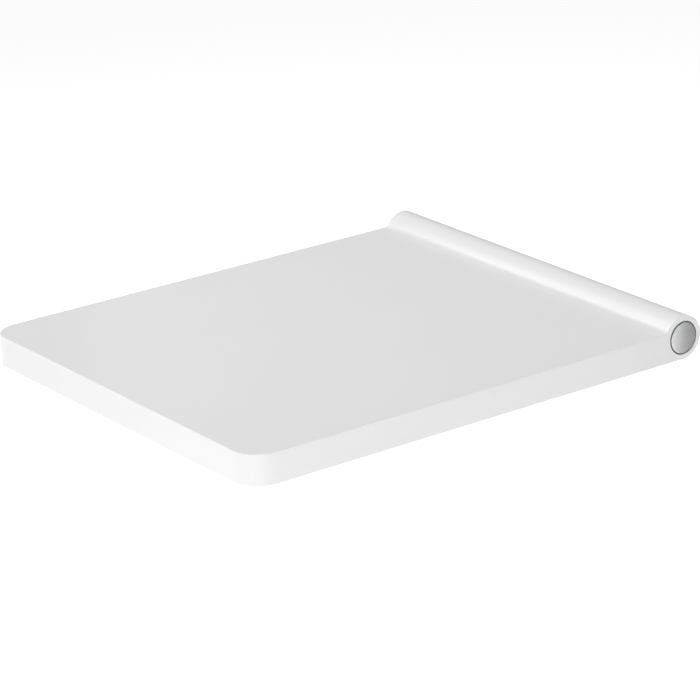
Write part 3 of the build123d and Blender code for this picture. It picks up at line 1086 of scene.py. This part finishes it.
@dataclass
class EndCap:
    """The turned metal cap in each end of the barrel, and the near-black plug it snaps into, whose rim
    makes a dark ring round the cap.

    Sizes are in millimetres, for the right end.
    """

    face_x: float = 190.5
    radius: float = 13.25
    crown: float = 0.35
    edge: float = 0.3
    thickness: float = 2.5
    spigot: Pair = (6.0, 8.0)  # radius and length
    rim_x: float = 189.6
    plug_radius: float = 14.3
    plug_wall: float = 2.5
    plug_length: float = 15.8
    plug_ease: float = 0.3
    rim_ease: float = 0.1
    play: float = 0.05

    def outline(self) -> list[Pair]:
        """Half the cap's outline: a faintly crowned face, an eased edge and a spigot behind.

        Returns:
            Pairs of X and radius.
        """
        flat, rings = self.radius - self.edge, 10
        shares = [n / rings for n in range(rings + 1)]
        crown = [(self.face_x - self.crown * share**2, flat * share) for share in shares]
        shoulder = self.face_x - self.crown - self.edge
        turns = [math.radians(a) for a in (22, 45, 67, 90)]
        ease = [
            (shoulder + self.edge * math.cos(a), flat + self.edge * math.sin(a)) for a in turns
        ]
        back = self.face_x - self.thickness
        radius, length = self.spigot
        end = back - length
        return crown + ease + [(back, self.radius), (back, radius), (end, radius), (end, 0)]

    def build(self, side: Side) -> Piece:
        """The cap at one end.

        Args:
            side: Which end.

        Returns:
            Its object.
        """
        shape = Shape.turned(self.outline(), (0, HINGE_Y, 0), Along.X, 128).on(side)
        name, stands_for = f"end_cap_disc_{side.value}", f"end_cap_{side.value}"
        return shape.finish(name, CAP_FACE, SEAT, [stands_for], "cap_metal")

    def plug_outline(self) -> list[Pair]:
        """Half the plug's outline: a tube with a rim round the cap, and a sleeve for the spigot.

        Returns:
            Pairs of X and radius.
        """
        spigot, depth = self.spigot
        seat, radius = self.face_x - self.thickness - self.play, self.plug_radius
        inner, web, back = seat - depth, seat - self.plug_wall, seat - self.plug_length
        hollow, sleeve = radius - self.plug_wall, spigot + self.plug_wall
        lip, bore = self.radius + self.play, spigot + self.play
        rim, ease, rim_ease = self.rim_x, self.plug_ease, self.rim_ease
        outside = [(back, hollow), (back, radius - ease), (back + ease, radius)]
        edge = [(rim - rim_ease, radius), (rim, radius - rim_ease), (rim, lip), (seat, lip)]
        inside = [(seat, bore), (inner, bore), (inner, sleeve), (web, sleeve), (web, hollow)]
        return outside + edge + inside + outside[:1]

    def plug(self, side: Side) -> Piece:
        """The plug at one end.

        Args:
            side: Which end.

        Returns:
            Its object.
        """
        shape = Shape.turned(self.plug_outline(), (0, HINGE_Y, 0), Along.X).on(side)
        name, stands_for = f"cap_plug_{side.value}", f"cap_carrier_{side.value}"
        return shape.finish(name, PLUG_PLASTIC, SEAT, [stands_for], "plug_plastic")


# ---------------------------------------------------------------- the bracket


@dataclass
class WallPlate:
    """The plate screwed to the wall. Sizes in millimetres."""

    thickness: float = 5.0
    outline: tuple[Pair, ...] = ((118.0, 4.0), (118.0, -48.0), (76.0, -72.0))
    corner: float = 6.0
    edge: float = 0.8
    hole_radius: float = 4.25
    hole_ease: float = 0.6
    holes: tuple[Pair, ...] = ((56.0, -30.0), (56.0, -62.0), (86.0, -30.0))

    def build(self) -> Piece:
        """The plate, with rounded corners, softened edges and eased screw holes.

        Returns:
            Its object.
        """
        shape, y = Shape(), -self.thickness
        right = [(x, y, z) for x, z in self.outline]
        left = [(-x, y, z) for x, z in reversed(self.outline)]
        first = shape.start_line(right[0])
        shape.close_line(first, shape.run_on(first, right[1:] + left))
        shape.thicken(Along.Y, self.thickness)
        shape.round_edges(shape.edges_along(Along.Y), self.corner, 8)
        front = [e for e in shape.sharp_edges() if all(v.co.y < y + HAIR for v in e.verts)]
        shape.round_edges(front, self.edge, 3)
        r, wide = self.hole_radius, self.hole_radius + self.hole_ease
        mouth = [(y - REACH, 0), (y - REACH, wide), (y, wide)]
        hole = mouth + [(y + self.hole_ease, r), (REACH, r), (REACH, 0)]
        cutter = Shape.turned(hole, (0, 0, 0), Along.Y, 40)
        shape.cut(cutter.copies([(s * x, 0, z) for x, z in self.holes for s in (-1, 1)]))
        return shape.finish(
            "wall_plate_body", PLATE_STEEL, BRACKET, ["wall_plate"], "bracket_steel"
        )


@dataclass
class BracketLug:
    """A lug on the wall plate: hub, neck and stop ledge. Sizes in millimetres.

    The foot's and the ledge's points are counted from the hinge axis along Y, and from Z = 0.
    """

    inside_x: float = 100.0
    thickness: float = 10.0
    hub_radius: float = 11.0
    bush_radius: float = 7.5
    neck_degrees: float = -35.0
    plate_face: float = 23.0
    foot: Pair = (10.0, -56.0)
    ledge_z: float = -25.3
    ledge_tip: tuple[Pair, ...] = ((-50.0, -34.0), (-45.0, -37.0))
    ledge_corner: float = 3.0
    pad_y: float = -66.0
    pad_top_z: float = -19.3
    stem_hole: Pair = (3.0, 7.0)  # radius and depth
    edge: float = 0.7
    bead: float = 2.4
    bead_pitch: float = 1.5
    bead_flatness: float = 0.62
    bead_place: Pair = (0.2, 0.35)  # out from the lug's face, and into the plate's
    bead_bite: float = 1.2

    @property
    def middle_x(self) -> float:
        """The middle of the lug's thickness."""
        return self.inside_x + self.thickness / 2

    def blank(self) -> Shape:
        """The right lug as cut from thick plate, with the ledge's two upper corners rounded.

        Returns:
            The solid shape.
        """
        shape, x = Shape(), self.inside_x
        angle = math.radians(self.neck_degrees)
        hub_y, hub_z = self.hub_radius * math.cos(angle), self.hub_radius * math.sin(angle)
        first = shape.start_line((x, HINGE_Y + hub_y, hub_z))
        last = shape.curve_on(first, (x, HINGE_Y, 0), 270 - self.neck_degrees, 60)
        tip_y = self.ledge_tip[0][0]
        plate = self.plate_face
        path = [(0.0, self.ledge_z), (tip_y, self.ledge_z), *self.ledge_tip, self.foot]
        path += [(plate, self.foot[1]), (plate, plate * math.tan(angle))]
        last = shape.run_on(last, [(x, HINGE_Y + y, z) for y, z in path])
        shape.close_line(first, last)
        shape.thicken(Along.X, self.thickness)
        across = shape.edges_along(Along.X)
        ledge = [edge for edge in across if abs(edge.verts[0].co.z - self.ledge_z) < HAIR]
        return shape.round_edges(ledge, self.ledge_corner, 5)

    def lug(self, side: Side) -> Piece:
        """The lug on one side.

        Args:
            side: Which side.

        Returns:
            Its object.
        """
        shape = self.blank()
        shape.soften(self.edge, 2, 40)
        x0, x1 = self.inside_x - REACH, self.inside_x + self.thickness + REACH
        eye = Shape.rod((x0, HINGE_Y, 0), (x1, HINGE_Y, 0), self.bush_radius, 96)
        (radius, depth), z = self.stem_hole, self.ledge_z
        low, high = [(self.middle_x, self.pad_y, end) for end in (z - depth, z + REACH)]
        shape = shape.cut(eye, Shape.rod(low, high, radius, 32)).on(side)
        name, stands_for = f"bracket_lug_body_{side.value}", f"bracket_lug_{side.value}"
        return shape.finish(name, LUG_STEEL, BRACKET, [stands_for], "bracket_steel")

    def weld(self, side: Side) -> Piece:
        """The weld beads where one lug meets the wall plate, laid as overlapping ripples.

        Args:
            side: Which side.

        Returns:
            The beads' object.
        """
        pitch, face_y = self.bead_pitch, HINGE_Y + self.plate_face
        top = self.plate_face * math.tan(math.radians(self.neck_degrees)) - pitch
        bottom = self.foot[1] + pitch
        out_x, out_y = self.bead_place
        ripple = Shape()
        bmesh.ops.create_uvsphere(ripple.bm, u_segments=16, v_segments=8, radius=self.bead)
        bmesh.ops.scale(ripple.bm, vec=(1, 1, self.bead_flatness), verts=ripple.bm.verts)
        places = [
            (x, face_y + out_y, bottom + pitch * n)
            for x in (self.inside_x - out_x, self.inside_x + self.thickness + out_x)
            for n in range(round((top - bottom) / pitch) + 1)
        ]
        mesh = ripple.copies(places).bm
        limit = face_y + self.bead_bite
        inside = [f for f in mesh.faces if f.calc_center_median().y > limit]
        bmesh.ops.delete(mesh, geom=inside, context="FACES")
        bmesh.ops.holes_fill(mesh, edges=[e for e in mesh.edges if e.is_boundary], sides=0)
        ripple = ripple.outward().on(side)
        return ripple.finish(
            f"weld_bead_{side.value}", WELD_STEEL, BRACKET, (), "bracket_steel"
        )


@dataclass
class StopPad:
    """The ringed rubber button on a stem that stands on a lug's ledge. Sizes in millimetres."""

    lug: BracketLug
    radius: float = 7.9
    base_ease: float = 0.5
    stem: Pair = (2.95, 6.6)  # radius and length
    stem_ease: Pair = (0.55, 0.6)  # how much its end narrows, and over what length
    waist: tuple[Pair, ...] = ((2.2, 0.0), (2.7, 0.6), (3.2, 0.6), (3.7, 0.0))
    shoulder: tuple[Pair, ...] = ((1.1, 0.0), (0.5, 0.2), (0.1, 0.8), (0.0, 1.5))
    ring: tuple[Pair, ...] = ((0.0, 4.6), (0.5, 4.2), (0.5, 3.6), (0.0, 3.2))

    def outline(self) -> list[Pair]:
        """Half the pad's outline, from the stem's end to the top.

        The waist is counted up from the ledge and in from the radius, the shoulder down from the
        top and in from the radius, and the ring down from the top and out from the middle.

        Returns:
            Pairs of Z and radius.
        """
        low, top, r = self.lug.ledge_z, self.lug.pad_top_z, self.radius
        (stem, length), (narrowing, taper) = self.stem, self.stem_ease
        end, ease = low - length, self.base_ease
        foot = [(end, 0), (end, stem - narrowing), (end + taper, stem), (low, stem)]
        base = [(low, r - ease), (low + ease, r)]
        waist = [(low + up, r - inward) for up, inward in self.waist]
        shoulder = [(top - down, r - inward) for down, inward in self.shoulder]
        ring = [(top - down, out) for down, out in self.ring]
        return foot + base + waist + shoulder + ring + [(top, 0)]

    def build(self, side: Side) -> Piece:
        """The pad on one side.

        Args:
            side: Which side.

        Returns:
            Its object.
        """
        centre = (self.lug.middle_x, self.lug.pad_y, 0)
        shape = Shape.turned(self.outline(), centre, Along.Z, 48).on(side)
        name, stands_for = f"stop_pad_button_{side.value}", f"stop_pad_{side.value}"
        return shape.finish(name, STOP_RUBBER, BRACKET, [stands_for], "pad_rubber")


# ---------------------------------------------------------------- inner works


@dataclass
class InnerWorks:
    """The CAD pieces that keep their own shape, and the finish each one gets."""

    looks: dict[str, Finish] = field(
        default_factory=lambda: {
            "frame_arm": TUBE_STEEL,
            "frame_bar": BAR_STEEL,
            "frame_strap": BAR_STEEL,
            "hinge_knuckle": FORGED_STEEL,
            "hinge_pin": SCREW_STEEL,
            "sprung_washers": SCREW_STEEL,
            "strap_screws": SCREW_STEEL,
            "knuckle_screws": SCREW_STEEL,
            "inner_washer": BUSH_PLASTIC,
            "outer_washer": BUSH_PLASTIC,
            "lug_bush": BUSH_PLASTIC,
        }
    )

    def dress(self) -> int:
        """Gives each of these pieces its finish.

        Returns:
            How many were dressed.
        """
        dressed = 0
        for name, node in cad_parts.items():
            for start, look in self.looks.items():
                if name.startswith(start):
                    node.data.materials.clear()
                    node.data.materials.append(look.material())
                    dressed += 1
        return dressed


# ---------------------------------------------------------------- the studio


def heading(azimuth: float, elevation: float) -> Vector:
    """The way out from the seat, by degrees from straight in front towards +X, and above level."""
    a, e = math.radians(azimuth), math.radians(elevation)
    return Vector((math.sin(a) * math.cos(e), -math.cos(a) * math.cos(e), math.sin(e)))


def stand_card(name: str, size: Pair, place: Matrix, material: bpy.types.Material) -> Piece:
    """Stands a flat card in the scene.

    Args:
        name: Its name.
        size: Metres across and along.
        place: Where its middle is and how it is turned.
        material: Its material.

    Returns:
        The card's object.
    """
    card = bmesh.new()
    stretch = Matrix.Diagonal((*size, 1, 1))
    bmesh.ops.create_grid(card, x_segments=1, y_segments=1, size=0.5, matrix=place @ stretch)
    mesh = bpy.data.meshes.new(name)
    card.to_mesh(mesh)
    card.free()
    mesh.materials.append(material)
    return put(name, mesh)


@dataclass(frozen=True)
class Softbox:
    """A square soft light aimed at the seat.

    Attributes:
        name: Its name.
        azimuth: Degrees round from straight in front, towards +X.
        elevation: Degrees above level.
        distance: Metres from the seat.
        size: Metres across.
        power: Watts.
        mirrored: Whether glossy pieces mirror it.
    """

    name: str
    azimuth: float
    elevation: float
    distance: float
    size: float
    power: float
    mirrored: bool = True

    def hang(self, target: Vector) -> Piece:
        """Puts the light in the scene.

        Args:
            target: What it is aimed at.

        Returns:
            The light's object.
        """
        data = bpy.data.lights.new(self.name, "AREA")
        data.shape, data.size, data.energy = "SQUARE", self.size, self.power
        lamp = put(self.name, data)
        back = heading(self.azimuth, self.elevation)
        lamp.location = target + back * self.distance
        lamp.rotation_mode = "QUATERNION"
        lamp.rotation_quaternion = (-back).to_track_quat("-Z", "Y")
        lamp.visible_glossy = self.mirrored
        return lamp


@dataclass
class Studio:
    """Floor, lights, sky and camera. The lens and its sensor are in millimetres, the rest in metres."""

    floor_z: float = -0.46
    floor_size: float = 60.0
    floor_tone: float = 0.86
    floor_glow: float = 0.82
    matt: float = 0.9
    sky_strength: float = 0.1
    backdrop: float = 0.95
    boxes: tuple[Softbox, ...] = (
        Softbox("left_softbox", -57, 25, 1.6, 0.6, 4.2),
        Softbox("high_left_softbox", -60, 50, 1.6, 0.9, 5.6),
        Softbox("far_left_softbox", -90, 45, 1.6, 0.9, 1.2),
        Softbox("front_softbox", 40, 12, 1.6, 0.9, 8.8, mirrored=False),
        Softbox("top_softbox", 0, 85, 1.6, 0.9, 13.8),
        Softbox("back_right_softbox", 150, 30, 1.6, 0.9, 5.3),
        Softbox("back_left_softbox", -130, 25, 1.6, 0.9, 0.6),
    )
    flag_azimuth: float = 149.0
    flag_distance: float = 0.7
    flag_size: Pair = (0.5, 1.0)
    flag_tone: float = 0.3
    camera_azimuth: float = 53.80
    camera_elevation: float = 20.137
    camera_roll: float = -1.735
    camera_distance: float = 2.7314
    camera_target: Point = (0.03556, -0.25611, 0.00185)
    lens: float = 170.91
    sensor: float = 36.0
    clip: Pair = (0.05, 100.0)

    def lay_floor(self) -> Piece:
        """A plain pale floor, far enough below that the seat casts no clear shadow on it.

        Returns:
            The floor's object.
        """
        bench = Bench("pale_floor")
        bench.set(Base_Color=(self.floor_tone,) * 3 + (1,), Roughness=self.matt)
        bench.set(Emission_Color=(1, 1, 1, 1), Emission_Strength=self.floor_glow)
        level = Matrix.Translation((0, 0, self.floor_z))
        floor = stand_card("floor", (self.floor_size, self.floor_size), level, bench.material)
        return floor

    def stand_flag(self, target: Vector) -> Piece:
        """A dark card beside the seat, which the metal caps mirror and the camera doesn't see.

        Args:
            target: What it stands round.

        Returns:
            The card's object.
        """
        bench = Bench("flag_black")
        bench.set(Base_Color=(self.flag_tone,) * 3 + (1,), Roughness=self.matt)
        out = heading(self.flag_azimuth, 0)
        turn = out.to_track_quat("Z", "Y").to_matrix().to_4x4()
        middle = Vector((target.x, target.y, self.floor_z + self.flag_size[1] / 2))
        place = Matrix.Translation(middle + out * self.flag_distance) @ turn
        flag = stand_card("flag", self.flag_size, place, bench.material)
        flag.visible_camera = flag.visible_shadow = flag.visible_diffuse = False
        return flag

    def light_sky(self) -> None:
        """An even dim sky that the camera sees as a pale backdrop."""
        world = bpy.data.worlds.new("studio_sky")
        world.use_nodes = True
        nodes, links = world.node_tree.nodes, world.node_tree.links
        ray, level = nodes.new("ShaderNodeLightPath"), nodes.new("ShaderNodeMapRange")
        level.inputs["To Min"].default_value = self.sky_strength
        level.inputs["To Max"].default_value = self.backdrop
        links.new(ray.outputs["Is Camera Ray"], level.inputs["Value"])
        links.new(level.outputs["Result"], nodes["Background"].inputs["Strength"])
        nodes["Background"].inputs["Color"].default_value = (1, 1, 1, 1)
        bpy.context.scene.world = world

    def place_camera(self) -> Piece:
        """The camera, in front of the seat, to its right and a little above.

        Returns:
            The camera's object.
        """
        data = bpy.data.cameras.new("camera")
        data.sensor_width, data.lens = self.sensor, self.lens
        data.clip_start, data.clip_end = self.clip
        camera = put("camera", data)
        back = heading(self.camera_azimuth, self.camera_elevation)
        right = (-back).cross(Along.Z.value).normalized()
        up = right.cross(-back)
        roll = math.radians(self.camera_roll)
        across = right * math.cos(roll) + up * math.sin(roll)
        upward = up * math.cos(roll) - right * math.sin(roll)
        turn = Matrix((across, upward, back)).transposed().to_4x4()
        eye = Vector(self.camera_target) + back * self.camera_distance
        camera.matrix_world = Matrix.Translation(eye) @ turn
        bpy.context.scene.camera = camera
        return camera

    def set_up(self) -> None:
        """Floor, sky, softboxes, camera and plain colour reproduction."""
        self.lay_floor()
        self.light_sky()
        low, high = CAD_BOX
        middle = (low + high) / 2
        for box in self.boxes:
            box.hang(middle)
        self.stand_flag(Vector((high.x, HINGE_Y * MM, 0)))
        self.place_camera()
        view = bpy.context.scene.view_settings
        view.view_transform, view.look = "Standard", "None"


def report(piece: Piece) -> None:
    """Logs one finished piece."""
    LOG.info("%s: %d faces", piece.name, len(piece.data.polygons))


def main() -> None:
    """Builds the seat, the bracket and the studio in order."""
    logging.basicConfig(level=logging.INFO, format="%(name)s: %(message)s")
    shell = SeatShell()
    report(shell.build())
    cover = UndersideCover(shell)
    report(cover.cover())
    report(cover.screws())
    cap, lug = EndCap(), BracketLug()
    pad = StopPad(lug)
    report(WallPlate().build())
    for side in Side:
        report(cap.build(side))
        report(cap.plug(side))
        report(lug.lug(side))
        report(lug.weld(side))
        report(pad.build(side))
    LOG.info("inner pieces dressed: %d", InnerWorks().dress())
    Studio().set_up()


if __name__ == "__main__":
    main()
